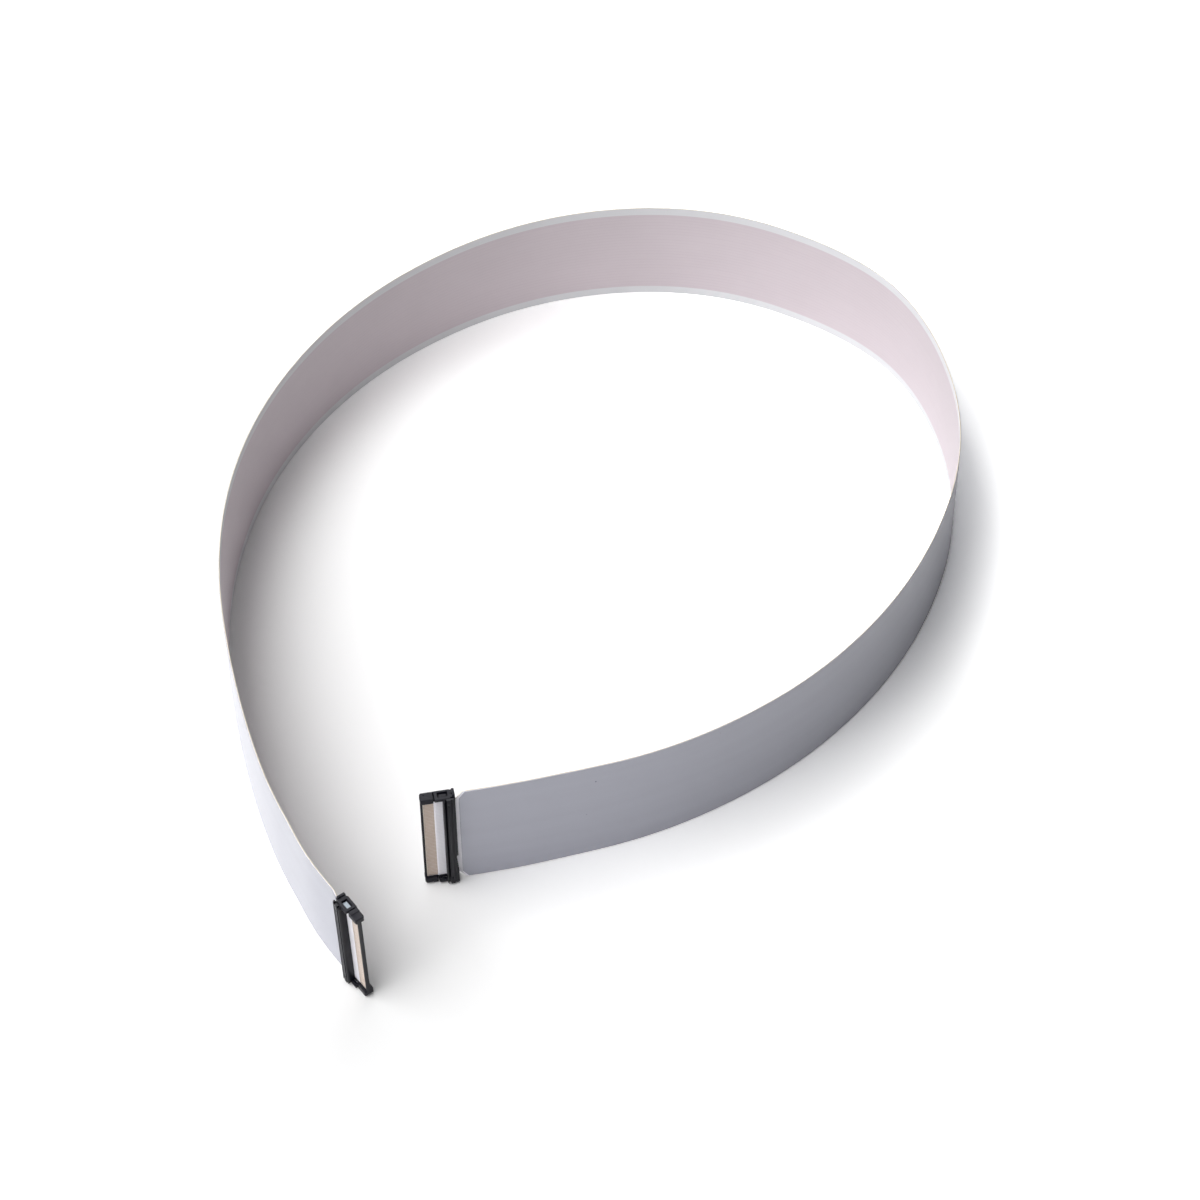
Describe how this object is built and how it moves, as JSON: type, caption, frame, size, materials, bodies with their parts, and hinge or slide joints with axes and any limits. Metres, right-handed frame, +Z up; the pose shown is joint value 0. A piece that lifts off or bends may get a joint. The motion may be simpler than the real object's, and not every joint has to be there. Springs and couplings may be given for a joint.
{
  "type": "flat flex cable",
  "caption": "Wide flat flex cable standing on edge as an open loop, a grey shield film on its outer face and a slim ribbed black plug with bare contacts at each end",
  "frame": {"origin": "on the surface the cable stands on, under the centre of the whole loop's bounding box", "axes": "+Z is up, across the strip's width. +Y runs along the loop's longer axis, from the two plugs towards the far side of the loop. +X is to the right when looking along +Y."},
  "size_m": [0.1837, 0.2369, 0.03],
  "materials": {
    "laminate": "semi-matt polyester laminate, near white, flat conductors showing faintly through it",
    "shield_film": "grey metallised shield film with a satin polyester skin",
    "contacts": "thin gold flash over flat copper conductors, dull",
    "stiffener": "blue polyester reinforcing tape",
    "housing": "fine moulded black glass-filled polymer, satin",
    "cover": "moulded black glass-filled polymer, satin, slightly smoother than the housing",
    "ground_tab": "bright tin plating"
  },
  "bodies": {
    "root": {"ribbon": "laminate", "shield_film": "shield_film", "contacts_a": "contacts", "contacts_b": "contacts", "stiffener_a": "stiffener", "stiffener_b": "stiffener", "housing_a": "housing", "housing_b": "housing", "cover_a": "cover", "cover_b": "cover", "ground_tab_a": "ground_tab", "ground_tab_b": "ground_tab"}
  },
  "joints": []
}
